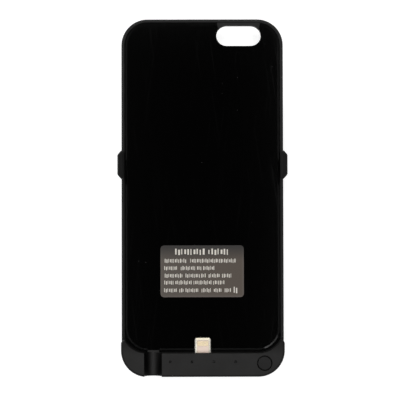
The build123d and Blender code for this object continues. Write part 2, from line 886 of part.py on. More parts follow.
def lower_cell():
    """Pouch cell on the foam strips."""
    return pouch_cell(lower_cell_z)


def upper_cell():
    """Pouch cell under the tray, taped to the lower one."""
    return pouch_cell(upper_cell_z)


def cell_tape():
    """Double-sided tape between the two cells."""
    half = cell_half - tape_inset
    y_range = (cell_low_y + tape_inset, cell_high_y - tape_inset)
    return block((-half, half), y_range, (tape_z, upper_cell_z))


def foam_pads():
    """Two foam strips between the back wall and the lower cell."""
    half = cell_half - tape_inset
    low_y = cell_low_y + foam_inset
    high_y = cell_high_y - foam_inset
    strips = [(low_y, low_y + foam_width), (high_y - foam_width, high_y)]
    return [block((-half, half), y_range, (back_wall, lower_cell_z)) for y_range in strips]


def cell_tabs():
    """Nickel tabs, bent up from each cell's terrace against the protection board."""
    tabs = []
    for cell_z in (lower_cell_z, upper_cell_z):
        top_z = cell_z + cell_thickness / 2 + terrace_thickness / 2
        for x in (-tab_spacing / 2, tab_spacing / 2):
            x_range = (x - tab_width / 2, x + tab_width / 2)
            flat = block(x_range, (terrace_y, terrace_y + tab_reach), (top_z, top_z + tab_thickness))
            turned = block(x_range, (terrace_y, terrace_y + tab_thickness), (top_z, top_z + tab_lift))
            tabs.append(flat + turned)
    return tabs


def protection_board():
    """Upright circuit board across the tab ends of the cells."""
    middle_z = tape_z + tape_thickness / 2
    z_range = (middle_z - guard_height / 2, middle_z + guard_height / 2)
    return block((-guard_width / 2, guard_width / 2), (guard_y, terrace_y), z_range)


def protection_chips():
    """Protection chip and switch transistors on the protection board."""
    middle_z = tape_z + tape_thickness / 2
    z_range = (middle_z - guard_chip_height / 2, middle_z + guard_chip_height / 2)
    chips = []
    for x in (-tab_spacing / 2, tab_spacing / 2):
        x_range = (x - guard_chip_width / 2, x + guard_chip_width / 2)
        chips.append(block(x_range, (guard_y - guard_chip_thickness, guard_y), z_range))
    return chips


def cell_lead(x):
    """Wire from the protection board, bent up to the underside of the main board."""
    lead_y = board_high_y - lead_inset
    low_z = board_z - lead_rise
    path = Polyline((x, guard_y, low_z), (x, lead_y, low_z), (x, lead_y, board_z))
    section = Plane(origin=path @ 0, z_dir=path % 0) * Circle(lead_radius)
    return sweep(section, path=path, transition=Transition.RIGHT)


def positive_lead():
    """Red wire of the cells."""
    return cell_lead(lead_x - lead_spacing / 2)


def negative_lead():
    """Black wire of the cells."""
    return cell_lead(lead_x + lead_spacing / 2)


pieces = [
    back_housing, phone_tray, chin_cover, rating_label,
    plug_frame, plug_insert, plug_contacts, plug_collar, plug_board, board_header,
    power_button, switch_body, switch_cover, switch_plunger, light_guide, indicator_leds,
    main_board, board_screws, charge_chip, boost_chip, boost_coil, capacitors,
    output_shell, output_tongue, output_contacts, input_shell, input_tongue, input_contacts,
    lower_cell, upper_cell, cell_tape, foam_pads, cell_tabs,
    protection_board, protection_chips, positive_lead, negative_lead,
]

os.makedirs("parts", exist_ok=True)
for piece in pieces:
    shape = piece()
    if isinstance(shape, list):
        shape = Compound(children=shape)
    export_step(shape, f"parts/{piece.__name__}.step")
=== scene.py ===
"""Looks of the battery charging case: a finish for every solid, a dummy print, studio light and a camera."""
import bpy
import math
import numpy as np
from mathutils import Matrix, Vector


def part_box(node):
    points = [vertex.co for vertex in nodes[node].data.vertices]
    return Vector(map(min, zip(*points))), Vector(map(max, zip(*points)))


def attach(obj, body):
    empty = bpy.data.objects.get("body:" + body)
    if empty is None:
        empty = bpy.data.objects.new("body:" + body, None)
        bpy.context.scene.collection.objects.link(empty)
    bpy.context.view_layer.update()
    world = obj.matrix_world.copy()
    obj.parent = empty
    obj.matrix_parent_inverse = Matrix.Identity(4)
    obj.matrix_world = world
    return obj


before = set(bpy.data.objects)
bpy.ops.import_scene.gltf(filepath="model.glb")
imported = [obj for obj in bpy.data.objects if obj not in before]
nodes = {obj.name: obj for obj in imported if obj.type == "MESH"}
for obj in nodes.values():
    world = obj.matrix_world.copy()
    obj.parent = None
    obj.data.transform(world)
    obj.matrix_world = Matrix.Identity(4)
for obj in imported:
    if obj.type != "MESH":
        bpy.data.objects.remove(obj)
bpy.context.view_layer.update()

# Back housing
# The moulded back of the case, with the rim round the tray and both clips, in a black polycarbonate blend.
# Its mould is spark-eroded, so the skin has a dull grain. It is coarser towards the plug end and high on the
# clips, and hands polish it a little along the edges.
mm = 0.001


def wire(tree, kind, inputs, **settings):
    """Add a node to a shader tree and return its outputs.

    Inputs are plain values, colours as red, green and blue, or outputs of other nodes. Settings are options.
    """
    made = tree.nodes.new("ShaderNode" + kind)
    for name, value in settings.items():
        setattr(made, name, value)
    for name, value in inputs.items():
        socket = made.inputs[name]
        if isinstance(value, bpy.types.NodeSocket):
            tree.links.new(value, socket)
        elif socket.type == "RGBA":
            socket.default_value = (*value, 1.0)
        else:
            socket.default_value = value
    return made.outputs


def maths(tree, operation, *values):
    """One Math node over plain numbers or outputs of other nodes."""
    return wire(tree, "Math", dict(enumerate(values)), operation=operation)[0]


def blended(tree, mask, low, high):
    """Colour that goes from low to high as a mask goes from 0 to 1.

    A Mix node numbers its colours 6 and 7 among its inputs, and 2 among its outputs.
    """
    return wire(tree, "Mix", {0: mask, 6: low, 7: high}, data_type="RGBA")[2]


def step(tree, value, start, end):
    """Mask that rises evenly from 0 to 1 as a value goes from start to end."""
    return wire(tree, "MapRange", {"Value": value, "From Min": start, "From Max": end})["Result"]


def new_group(name, inputs, outputs):
    """Shader group with named sockets: inputs give name, kind and start value, outputs give name and kind."""
    tree = bpy.data.node_groups.new(name, "ShaderNodeTree")
    for socket, kind, value in inputs:
        made = tree.interface.new_socket(socket, in_out="INPUT", socket_type="NodeSocket" + kind)
        made.default_value = value
    for socket, kind in outputs:
        tree.interface.new_socket(socket, in_out="OUTPUT", socket_type="NodeSocket" + kind)
    given = tree.nodes.new("NodeGroupInput").outputs
    out = tree.nodes.new("NodeGroupOutput").inputs
    return tree, given, out


def moulded_grain():
    """Grain of a skin: noise at the grain's own size, and patches 40 times larger.

    Colour and Roughness are the given ones times 1 + spread * (grain + patches - 1). Height is the grain.
    """
    tree, given, out = new_group(
        "moulded_grain",
        [("Colour", "Color", (0.5, 0.5, 0.5, 1.0)), ("Roughness", "Float", 0.5),
         ("Grains per Metre", "Float", 5000.0), ("Spread", "Float", 0.2)],
        [("Colour", "Color"), ("Roughness", "Float"), ("Height", "Float")],
    )
    patch_size = 40.0
    place = wire(tree, "TexCoord", {})["Object"]
    patches_per_metre = maths(tree, "DIVIDE", given["Grains per Metre"], patch_size)
    grain, patches = (
        wire(tree, "TexNoise", {"Vector": place, "Scale": scale, "Detail": 3.0})["Fac"]
        for scale in (given["Grains per Metre"], patches_per_metre)
    )
    swing = maths(tree, "SUBTRACT", maths(tree, "ADD", grain, patches), 1.0)
    factor = maths(tree, "MULTIPLY_ADD", swing, given["Spread"], 1.0)
    tint = wire(tree, "VectorMath", {0: given["Colour"], "Scale": factor}, operation="SCALE")["Vector"]
    tree.links.new(tint, out["Colour"])
    tree.links.new(maths(tree, "MULTIPLY", given["Roughness"], factor), out["Roughness"])
    tree.links.new(grain, out["Height"])
    return tree


def coarse_stretch():
    """Stretch of a coarser skin: Roughness is the given one plus the rise times a mask.

    The mask goes from 0 to 1 as the place along the axis, their dot product, goes from start to end.
    """
    tree, given, out = new_group(
        "coarse_stretch",
        [("Roughness", "Float", 0.5), ("Axis", "Vector", (0.0, 0.0, 1.0)), ("Start", "Float", 0.0),
         ("End", "Float", 1.0), ("Rise", "Float", 0.1)],
        [("Roughness", "Float")],
    )
    place = wire(tree, "TexCoord", {})["Object"]
    along = wire(tree, "VectorMath", {0: place, 1: given["Axis"]}, operation="DOT_PRODUCT")["Value"]
    mask = step(tree, along, given["Start"], given["End"])
    tree.links.new(maths(tree, "MULTIPLY_ADD", mask, given["Rise"], given["Roughness"]), out["Roughness"])
    return tree


def rubbed_edge():
    """Edges that hands have rubbed.

    Normal is the surface's own, rounded over the radius. Rub is how far it turns from the flat one, 1 less
    their dot product, times the gain and times noise that breaks it up.
    """
    tree, given, out = new_group(
        "rubbed_edge",
        [("Radius", "Float", 0.2 * mm), ("Gain", "Float", 2.0), ("Breaks per Metre", "Float", 300.0)],
        [("Normal", "Vector"), ("Rub", "Float")],
    )
    rounded = wire(tree, "Bevel", {"Radius": given["Radius"]}, samples=8)["Normal"]
    flat = wire(tree, "NewGeometry", {})["True Normal"]
    alike = wire(tree, "VectorMath", {0: rounded, 1: flat}, operation="DOT_PRODUCT")["Value"]
    turned = maths(tree, "SUBTRACT", 1.0, alike)
    place = wire(tree, "TexCoord", {})["Object"]
    scale = given["Breaks per Metre"]
    noise = wire(tree, "TexNoise", {"Vector": place, "Scale": scale, "Detail": 4.0})["Fac"]
    breaks = step(tree, noise, start=0.35, end=0.65)
    rub = maths(tree, "MULTIPLY", maths(tree, "MULTIPLY", turned, given["Gain"]), breaks)
    tree.links.new(rounded, out["Normal"])
    tree.links.new(maths(tree, "MINIMUM", rub, 1.0), out["Rub"])
    return tree


grain_group = moulded_grain()
stretch_group = coarse_stretch()
edge_group = rubbed_edge()


def new_material(name, **sockets):
    """Material with plain values on its shader's own sockets, its shader tree and the shader's inputs."""
    material = bpy.data.materials.new(name)
    material.use_nodes = True
    shader = material.node_tree.nodes["Principled BSDF"].inputs
    for socket, value in sockets.items():
        shader[socket.replace("_", " ")].default_value = value
    return material, material.node_tree, shader


def grained(tree, colour, roughness, grain, spread):
    """Place the grain's group: the size of a grain in metres, and how far it spreads the tones."""
    return wire(tree, "Group", {
        "Colour": colour, "Roughness": roughness, "Grains per Metre": 1.0 / grain, "Spread": spread,
    }, node_tree=grain_group)


def emboss(tree, shader, height, depth):
    """Bump a surface by a mask of its height: the depth in metres."""
    tree.links.new(wire(tree, "Bump", {"Height": height, "Distance": depth})["Normal"], shader["Normal"])


def moulded(name, colour, roughness, grain=0.16 * mm, spread=0.2, depth=0.004 * mm, **sockets):
    """Moulded finish: the size and the depth of its grain in metres."""
    material, tree, shader = new_material(name, **sockets)
    skin = grained(tree, colour, roughness, grain, spread)
    tree.links.new(skin["Colour"], shader["Base Color"])
    tree.links.new(skin["Roughness"], shader["Roughness"])
    emboss(tree, shader, skin["Height"], depth)
    return material


def repaint(material, mask, colour):
    """Blend a finish to another colour as a mask goes from 0 to 1."""
    tree = material.node_tree
    base = tree.nodes["Principled BSDF"].inputs["Base Color"]
    tree.links.new(blended(tree, mask, base.links[0].from_socket, colour), base)


def rub_edges(material, radius, worn):
    """Round a finish's edges in its shading, with the worn colour and a smoother skin where they rub."""
    tree = material.node_tree
    shader = tree.nodes["Principled BSDF"].inputs
    polish = -0.1
    edge = wire(tree, "Group", {"Radius": radius}, node_tree=edge_group)
    repaint(material, edge["Rub"], worn)
    roughness = shader["Roughness"].links[0].from_socket
    tree.links.new(maths(tree, "MULTIPLY_ADD", edge["Rub"], polish, roughness), shader["Roughness"])
    bump = shader["Normal"].links[0].from_node
    tree.links.new(edge["Normal"], bump.inputs["Normal"])


def coarsen(material, axis, start, end, rise):
    """Raise a finish's roughness as the place along an axis goes from start to end."""
    tree = material.node_tree
    rough = tree.nodes["Principled BSDF"].inputs["Roughness"]
    coarse = wire(tree, "Group", {
        "Roughness": rough.links[0].from_socket, "Axis": axis, "Start": start, "End": end, "Rise": rise,
    }, node_tree=stretch_group)
    tree.links.new(coarse["Roughness"], rough)


def dress(material, *names):
    """Give CAD nodes a finish."""
    for name in names:
        nodes[name].data.materials.clear()
        nodes[name].data.materials.append(material)


lengthways = (0.0, 1.0, 0.0)
upwards = (0.0, 0.0, 1.0)
matt_shell = moulded("matt_shell", colour=(0.0070, 0.0070, 0.0069), roughness=0.66, Specular_IOR_Level=0.3)
rub_edges(matt_shell, radius=0.25 * mm, worn=(0.009, 0.009, 0.009))
coarsen(matt_shell, lengthways, start=55 * mm, end=5 * mm, rise=0.12)
coarsen(matt_shell, upwards, start=16 * mm, end=18 * mm, rise=0.22)
dress(matt_shell, "back_housing")

# Cells, tape and foam
# Two pouch cells in laminated aluminium foil, taped to each other and pressed on foam strips in the battery
# bay. Rolled nickel tabs are welded to their sealed ends and bent up against the protection board.


def drawn_lines():
    """Lines that rolling, drawing or rubbing leaves, as 0 to 1.

    They are noise that is turned and then stretched along X: a line is 60 times as long as it is wide.
    """
    tree, given, out = new_group(
        "drawn_lines",
        [("Lines per Metre", "Float", 8000.0), ("Turn", "Vector", (0.0, 0.0, 0.0))],
        [("Lines", "Float")],
    )
    shrink = (1 / 60, 1.0, 1.0)
    place = wire(tree, "TexCoord", {})["Object"]
    turned = wire(tree, "Mapping", {"Vector": place, "Rotation": given["Turn"]})["Vector"]
    long = wire(tree, "VectorMath", {0: turned, 1: shrink}, operation="MULTIPLY")["Vector"]
    scale = given["Lines per Metre"]
    noise = wire(tree, "TexNoise", {"Vector": long, "Scale": scale, "Detail": 2.0})["Fac"]
    tree.links.new(step(tree, noise, start=0.3, end=0.7), out["Lines"])
    return tree


lines_group = drawn_lines()


def lined(tree, lines_per_mm, turn):
    """Place the lines' group: lines to a millimetre, and their turn about Z in degrees."""
    return wire(tree, "Group", {
        "Lines per Metre": lines_per_mm / mm, "Turn": (0.0, 0.0, math.radians(turn)),
    }, node_tree=lines_group)["Lines"]


def drawn(name, dark, light, roughness, lines_per_mm, turn, depth=0.002 * mm, **sockets):
    """Drawn finish: colour from dark to light, and roughness up by a third, from line to line."""
    material, tree, shader = new_material(name, **sockets)
    lines = lined(tree, lines_per_mm, turn)
    tree.links.new(blended(tree, lines, dark, light), shader["Base Color"])
    tree.links.new(maths(tree, "MULTIPLY_ADD", lines, roughness / 3, roughness), shader["Roughness"])
    emboss(tree, shader, lines, depth)
    return material


foil = moulded(
    "pouch_foil", colour=(0.62, 0.63, 0.64), roughness=0.36,
    grain=7.0 * mm, spread=0.35, depth=0.12 * mm, Metallic=0.9,
)
dress(foil, "lower_cell", "upper_cell")
nickel = drawn(
    "nickel_strip", dark=(0.52, 0.50, 0.45), light=(0.66, 0.63, 0.57), roughness=0.26,
    lines_per_mm=9.0, turn=90, Metallic=1.0,
)
dress(nickel, "cell_tabs")
tape = drawn(
    "fibre_tape", dark=(0.66, 0.66, 0.62), light=(0.80, 0.80, 0.77), roughness=0.55,
    lines_per_mm=2.5, turn=0, depth=0.01 * mm,
)
dress(tape, "cell_tape")


def open_foam():
    """Open foam: Voronoi cells, whose middles are dark pores and whose outer parts are paler, raised walls.

    The mask is the distance from a cell's middle, and roughness falls a little from pore to wall.
    """
    material, tree, shader = new_material("open_foam", Specular_IOR_Level=0.2)
    cell = 0.7 * mm
    pore_black = (0.02, 0.02, 0.02)
    wall_grey = (0.13, 0.13, 0.13)
    place = wire(tree, "TexCoord", {})["Object"]
    distance = wire(tree, "TexVoronoi", {"Vector": place, "Scale": 1.0 / cell})["Distance"]
    wall = step(tree, distance, start=0.25, end=0.6)
    tree.links.new(blended(tree, wall, pore_black, wall_grey), shader["Base Color"])
    tree.links.new(maths(tree, "MULTIPLY_ADD", wall, -0.15, 0.95), shader["Roughness"])
    emboss(tree, shader, wall, depth=0.15 * mm)
    return material


dress(open_foam(), "foam_pads")

# Circuit boards
# Glass-fibre boards with copper under green lacquer: the main board on the housing's bosses, one that stands
# across the cells' tabs, and one that stands behind the plug. Sawn out, they have edges of bare fibre.


def copper_tracks():
    """Copper under the lacquer: areas split by narrow gaps, and round pads.

    Areas is 1 on the bricks of a brick pattern and 0 in its gaps. Pads is 1 close to the points of a Voronoi
    pattern. Both are laid out in millimetres over X and Y of the given place.
    """
    tree, given, out = new_group(
        "copper_tracks", [("Place", "Vector", (0.0, 0.0, 0.0))], [("Areas", "Float"), ("Pads", "Float")],
    )
    gaps = wire(tree, "TexBrick", {
        "Vector": given["Place"], "Scale": 1.0 / mm, "Brick Width": 3.1, "Row Height": 1.25,
        "Mortar Size": 0.13, "Mortar Smooth": 0.2,
    }, offset=0.37)["Fac"]
    points = wire(tree, "TexVoronoi", {
        "Vector": given["Place"], "Scale": 0.55 / mm, "Randomness": 0.8,
    }, voronoi_dimensions="2D")["Distance"]
    tree.links.new(maths(tree, "SUBTRACT", 1.0, gaps), out["Areas"])
    tree.links.new(step(tree, points, start=0.16, end=0.13), out["Pads"])
    return tree


tracks_group = copper_tracks()


def lacquered(name, face, turn):
    """Board finish: lacquer over copper on the faces that look along face, and rougher fibre on the edges.

    The turn brings the board's own plane into X and Y for the tracks.
    """
    material, tree, shader = new_material(name)
    gap_green = (0.006, 0.045, 0.018)
    track_green = (0.014, 0.105, 0.040)
    pad_tin = (0.52, 0.50, 0.44)
    bare_fibre = (0.30, 0.25, 0.13)
    coordinates = wire(tree, "TexCoord", {})
    place = wire(tree, "Mapping", {"Vector": coordinates["Object"], "Rotation": turn})["Vector"]
    copper = wire(tree, "Group", {"Place": place}, node_tree=tracks_group)
    lacquer = blended(tree, copper["Areas"], gap_green, track_green)
    finished = blended(tree, copper["Pads"], lacquer, pad_tin)
    along = wire(tree, "VectorMath", {0: coordinates["Normal"], 1: face}, operation="DOT_PRODUCT")["Value"]
    on_face = step(tree, maths(tree, "ABSOLUTE", along), start=0.4, end=0.6)
    tree.links.new(blended(tree, on_face, bare_fibre, finished), shader["Base Color"])
    tree.links.new(maths(tree, "MULTIPLY_ADD", on_face, -0.4, 0.7), shader["Roughness"])
    emboss(tree, shader, copper["Areas"], depth=0.03 * mm)
    return material


level = (0.0, 0.0, 0.0)
upright = (-math.pi / 2, 0.0, 0.0)
dress(lacquered("level_board", upwards, level), "main_board")
dress(lacquered("upright_board", lengthways, upright), "protection_board", "plug_board")

# Parts on the boards
# Moulded chips, a pressed ferrite coil and fired ceramic capacitors with tinned ends, soldered to the boards.
# Steel screws hold the main board on its bosses, and two short wires in soft sleeves feed it from the cells.
chip_resin = moulded(
    "chip_resin", colour=(0.018, 0.018, 0.020), roughness=0.55, grain=0.1 * mm, spread=0.3, depth=0.003 * mm,
)
rub_edges(chip_resin, radius=0.1 * mm, worn=(0.05, 0.05, 0.05))
dress(chip_resin, "charge_chip", "boost_chip", "protection_chips")
ferrite = moulded(
    "pressed_ferrite", colour=(0.070, 0.070, 0.075), roughness=0.7,
    grain=0.15 * mm, spread=0.4, depth=0.012 * mm,
)
rub_edges(ferrite, radius=0.2 * mm, worn=(0.13, 0.13, 0.135))
dress(ferrite, "boost_coil")


def place_along(tree, axis):
    """Place of a point along X, Y or Z, in metres."""
    return wire(tree, "SeparateXYZ", {"Vector": wire(tree, "TexCoord", {})["Object"]})[axis]


def distance_from(tree, axis, middle):
    """How far a point lies from a middle along X, Y or Z, on either side of it, in metres."""
    return maths(tree, "ABSOLUTE", maths(tree, "SUBTRACT", place_along(tree, axis), middle))


def fired_capacitor():
    """Ceramic body with tinned ends: the ends lie more than the body's half from the row's middle along Y."""
    material, tree, shader = new_material("fired_capacitor")
    tin = (0.62, 0.61, 0.58)
    seam = 0.02 * mm
    low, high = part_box("capacitors")
    half_body = 0.3 * (high.y - low.y)
    ends = step(tree, distance_from(tree, "Y", (low.y + high.y) / 2), half_body - seam, half_body + seam)
    skin = grained(tree, colour=(0.42, 0.29, 0.17), roughness=0.5, grain=0.12 * mm, spread=0.3)
    tree.links.new(blended(tree, ends, skin["Colour"], tin), shader["Base Color"])
    tree.links.new(ends, shader["Metallic"])
    tree.links.new(maths(tree, "MULTIPLY_ADD", ends, -0.15, skin["Roughness"]), shader["Roughness"])
    emboss(tree, shader, skin["Height"], depth=0.003 * mm)
    return material


dress(fired_capacitor(), "capacitors")
steel = drawn(
    "tinned_steel", dark=(0.44, 0.44, 0.43), light=(0.62, 0.62, 0.61), roughness=0.28,
    lines_per_mm=12.0, turn=90, Metallic=1.0,
)
dress(steel, "board_screws")
for name, colour, lead in (
    ("red_sleeve", (0.42, 0.02, 0.015), "positive_lead"),
    ("black_sleeve", (0.012, 0.012, 0.013), "negative_lead"),
):
    dress(moulded(name, colour, roughness=0.42, grain=0.4 * mm, spread=0.25, depth=0.006 * mm), lead)

# Power sockets
# Shells folded from tinned steel, with nylon tongues that carry gold-plated spring contacts. They hang under
# the main board and face the windows in the end wall.
nylon = moulded(
    "black_nylon", colour=(0.016, 0.016, 0.017), roughness=0.5, grain=0.2 * mm, spread=0.3, depth=0.003 * mm,
)
gold = drawn(
    "gold_plate", dark=(0.46, 0.39, 0.22), light=(0.54, 0.45, 0.29), roughness=0.36,
    lines_per_mm=14.0, turn=90, depth=0.001 * mm, Metallic=0.7,
)
dress(steel, "output_shell", "input_shell")
dress(nylon, "output_tongue", "input_tongue")
dress(gold, "output_contacts", "input_contacts")

# Dock plug
# A plated metal frame round a pale moulded core with gold contacts in a row on each face. Its root passes a
# black collar behind the chin's wall to the upright board, which a header block joins to the main board.


def paint_side_highlights(material, node, width, colour):
    """Painted highlights down a node's sides: the mask is 1 where X lies within the width of either side."""
    tree = material.node_tree
    soft = 0.05 * mm
    low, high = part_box(node)
    inner = (high.x - low.x) / 2 - width
    strip = step(tree, distance_from(tree, "X", (low.x + high.x) / 2), inner - soft, inner + soft)
    repaint(material, strip, colour)


plug_plate = drawn(
    "plug_plate", dark=(0.69, 0.64, 0.49), light=(0.77, 0.71, 0.56), roughness=0.40,
    lines_per_mm=9.0, turn=90, depth=0.001 * mm, Metallic=0.4,
)
rub_edges(plug_plate, radius=0.10 * mm, worn=(0.85, 0.80, 0.68))
# Painted highlight: brighter strips down the plug frame's sides.
paint_side_highlights(plug_plate, "plug_frame", width=0.6 * mm, colour=(0.99, 0.95, 0.86))
plug_core = moulded(
    "plug_core", colour=(0.90, 0.72, 0.61), roughness=0.45, grain=0.2 * mm, spread=0.12, depth=0.002 * mm,
)
dress(plug_plate, "plug_frame")
dress(plug_core, "plug_insert")
dress(gold, "plug_contacts")
dress(nylon, "plug_collar", "board_header")

# Indicator lights
# Four small light chips on the main board, each a white block under a yellow lens. A smoke-tinted clear guide
# carries their light up to pinholes in the chin.


def light_chip():
    """White block up to two fifths of the chip's height, and the smoother yellow lens above."""
    material, tree, shader = new_material("light_chip")
    white = (0.70, 0.70, 0.68)
    seam = 0.02 * mm
    low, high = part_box("indicator_leds")
    block_top = low.z + 0.4 * (high.z - low.z)
    lens = step(tree, place_along(tree, "Z"), block_top - seam, block_top + seam)
    skin = grained(tree, colour=(0.75, 0.62, 0.20), roughness=0.4, grain=0.15 * mm, spread=0.25)
    tree.links.new(blended(tree, lens, white, skin["Colour"]), shader["Base Color"])
    tree.links.new(maths(tree, "MULTIPLY_ADD", lens, -0.2, skin["Roughness"]), shader["Roughness"])
    return material


dress(light_chip(), "indicator_leds")
smoked_guide = moulded(
    "smoked_guide", colour=(0.004, 0.004, 0.004), roughness=0.14,
    grain=0.5 * mm, spread=0.3, depth=0.001 * mm,
)
dress(smoked_guide, "light_guide")

# Push switch and power button
# A nylon switch with a steel plate on top, soldered to the main board. The round cap over it is moulded like
# the chin, sits a little proud of it and slides in its hole.
dress(nylon, "switch_body", "switch_plunger")
dress(steel, "switch_cover")
matt_cap = moulded("matt_cap", colour=(0.0040, 0.0037, 0.0037), roughness=0.54, Specular_IOR_Level=0.175)
rub_edges(matt_cap, radius=0.3 * mm, worn=(0.006, 0.006, 0.006))
dress(matt_cap, "power_button")

# Chin cover
# The cover over the plug end, moulded in the same blend and grain as the back, and clipped into its end wall.
# Its horns hold the corners of the handset, and have a coarser skin. Audio plugs pass through its channel.


def paint_channel_shade(material):
    """Painted shade on the channel's walls, which darkens them to near black.

    The mask is 1 within half the channel's width of its middle, where the surface leans away from level.
    """
    tree = material.node_tree
    channel_x = -20.9 * mm
    half_width = 3.75 * mm
    soft = 0.05 * mm
    within = step(tree, distance_from(tree, "X", channel_x), half_width + soft, half_width - soft)
    normal = wire(tree, "TexCoord", {})["Normal"]
    facing_up = wire(tree, "SeparateXYZ", {"Vector": normal})["Z"]
    leaning = step(tree, facing_up, start=0.97, end=0.75)
    # The near-black colour is painted shade in the channel's recess.
    repaint(material, maths(tree, "MULTIPLY", within, leaning), colour=(0.0002, 0.0002, 0.0002))


matt_chin = moulded("matt_chin", colour=(0.0044, 0.0041, 0.0038), roughness=0.54, Specular_IOR_Level=0.205)
rub_edges(matt_chin, radius=0.4 * mm, worn=(0.006, 0.006, 0.006))
coarsen(matt_chin, lengthways, start=-66 * mm, end=-62 * mm, rise=0.12)
# Painted shade: the channel's leaning walls are darkened.
paint_channel_shade(matt_chin)
dress(matt_chin, "chin_cover")

# Phone tray
# The plate that the handset lies on, in black acrylic blend from a polished mould, held by hooks along its
# sides. A handset slid in and out leaves hairlines along it, and dust settles on the gloss.


def gloss_tray():
    """Black gloss with hairlines and specks of dust, which are both rougher.

    Hairlines are the brightest of two sets of drawn lines, a few degrees apart. A speck is where the distance
    from a Voronoi point is small, at the few points whose own colour is bright.
    """
    material, tree, shader = new_material("gloss_tray", Specular_IOR_Level=0.15)
    black = (0.0009, 0.0009, 0.0009)
    dust_grey = (0.03, 0.03, 0.03)
    speck_spacing = 3.0 * mm
    hairline_sets = [lined(tree, lines_per_mm=1.6, turn=82.0), lined(tree, lines_per_mm=1.1, turn=97.0)]
    hairlines = maths(tree, "MAXIMUM", *(step(tree, lines, start=0.86, end=1.0) for lines in hairline_sets))
    place = wire(tree, "TexCoord", {})["Object"]
    points = wire(tree, "TexVoronoi", {"Vector": place, "Scale": 1.0 / speck_spacing})
    near = step(tree, points["Distance"], start=0.055, end=0.035)
    own = wire(tree, "SeparateColor", {"Color": points["Color"]})["Red"]
    dust = maths(tree, "MULTIPLY", near, step(tree, own, start=0.80, end=0.95))
    tree.links.new(blended(tree, dust, black, dust_grey), shader["Base Color"])
    haze = maths(tree, "MULTIPLY_ADD", hairlines, 0.03, 0.07)
    tree.links.new(maths(tree, "MULTIPLY_ADD", dust, 0.5, haze), shader["Roughness"])
    emboss(tree, shader, hairlines, depth=0.0003 * mm)
    return material


piano_black = gloss_tray()
rub_edges(piano_black, radius=0.08 * mm, worn=(0.002, 0.002, 0.002))
dress(piano_black, "phone_tray")

# Rating label
# A grey metallised film label stuck to the tray, paler along its cut border, browner towards the right, and
# with painted shade along its top. Its print is dummy lines: ticks of pale ink in rows, with no letters.
label_low, label_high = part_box("rating_label")


def label_film():
    """Film that goes evenly from left to right, blends to the border's colour, then to painted shade at the
    top.

    The border's mask rises to 1 over its width at the label's edges; the painted shade's goes by the place
    along Y.
    """
    material, tree, shader = new_material("label_film", Specular_IOR_Level=0.2)
    left_grey = (0.094, 0.079, 0.066)
    right_brown = (0.089, 0.070, 0.055)
    border_grey = (0.120, 0.102, 0.090)
    # Painted shade: the film darkens towards its top edge.
    painted_shade_grey = (0.028, 0.025, 0.023)
    border = 0.9 * mm
    darkest_shade_y = label_high.y - 0.8 * mm
    shade_end_y = label_high.y - 6.3 * mm
    middle = (label_low + label_high) / 2
    half = (label_high - label_low) / 2
    edges = [
        step(tree, distance_from(tree, "X", middle.x), half.x - border, half.x),
        step(tree, distance_from(tree, "Y", middle.y), half.y - border, half.y),
    ]
    to_right = step(tree, place_along(tree, "X"), label_low.x, label_high.x)
    inner = blended(tree, to_right, left_grey, right_brown)
    skin = grained(tree, inner, roughness=0.5, grain=0.6 * mm, spread=0.22)
    film = blended(tree, maths(tree, "MAXIMUM", *edges), skin["Colour"], border_grey)
    clear = step(tree, place_along(tree, "Y"), darkest_shade_y, shade_end_y)
    tree.links.new(blended(tree, clear, painted_shade_grey, film), shader["Base Color"])
    tree.links.new(skin["Roughness"], shader["Roughness"])
    emboss(tree, shader, skin["Height"], depth=0.004 * mm)
    return material


dress(label_film(), "rating_label")

# Each row of print, in millimetres: how far its middle lies below the label's top edge, its height, the pitch
# of its ticks, and where its words start and end from the label's left edge
print_rows = [
    (2.7, 2.7, 1.30, [(6.2, 18.6), (20.3, 29.2)]),
    (6.5, 1.8, 0.72, [(1.8, 11.2), (12.6, 32.2)]),
    (9.6, 1.8, 0.72, [(1.6, 7.6), (8.6, 14.8), (15.5, 17.4), (18.1, 23.1)]),
    (12.8, 1.8, 0.72, [(1.8, 9.9), (10.6, 16.9), (17.3, 19.6), (20.4, 25.3), (26.1, 30.4)]),
    (15.7, 1.8, 0.72, [(1.6, 5.7), (6.3, 13.4), (14.0, 21.7), (22.3, 27.3)]),
    (19.0, 1.8, 0.72, [(1.5, 7.1), (8.0, 9.9), (10.6, 16.6), (17.4, 21.9), (22.6, 26.2), (27.2, 30.2)]),
    (18.9, 2.8, 0.95, [(31.0, 32.9)]),
]


def ink_ticks():
    """Rows of ticks: left, right, low and high of each, in metres on the label's face.

    In a word, ticks stand a pitch apart. Sines of a tick's number change its width and height.
    """
    rows = []
    for middle, height, pitch, words in print_rows:
        left = np.concatenate([np.arange(start, end - pitch / 2, pitch) for start, end in words])
        number = np.arange(left.size)
        width = pitch * (0.48 + 0.16 * np.sin(2.3 * number))
        low = middle + height * (0.42 + 0.08 * np.sin(1.7 * number))
        high = middle - height * (0.40 + 0.10 * np.sin(2.9 * number + 1.0))
        rows.append(np.stack([left, left + width, low, high], axis=1))
    ticks = np.concatenate(rows) * mm
    corner = np.array([label_low.x, label_low.x, label_high.y, label_high.y])
    return corner + ticks * np.array([1, 1, -1, -1])


def ink_boxes(ticks, low_z, high_z):
    """Closed flat boxes over the ticks: four corners at the bottom, four at the top, six outward faces."""
    flat = np.stack([ticks[:, [0, 1, 1, 0]], ticks[:, [2, 2, 3, 3]]], axis=2)
    levels = [np.dstack([flat, np.full(flat.shape[:2], z)]) for z in (low_z, high_z)]
    vertices = np.concatenate(levels, axis=1).reshape(-1, 3)
    one = np.array([[3, 2, 1, 0], [4, 5, 6, 7], [0, 1, 5, 4], [1, 2, 6, 5], [2, 3, 7, 6], [3, 0, 4, 7]])
    faces = (8 * np.arange(len(ticks))[:, None, None] + one).reshape(-1, 4)
    return vertices, faces


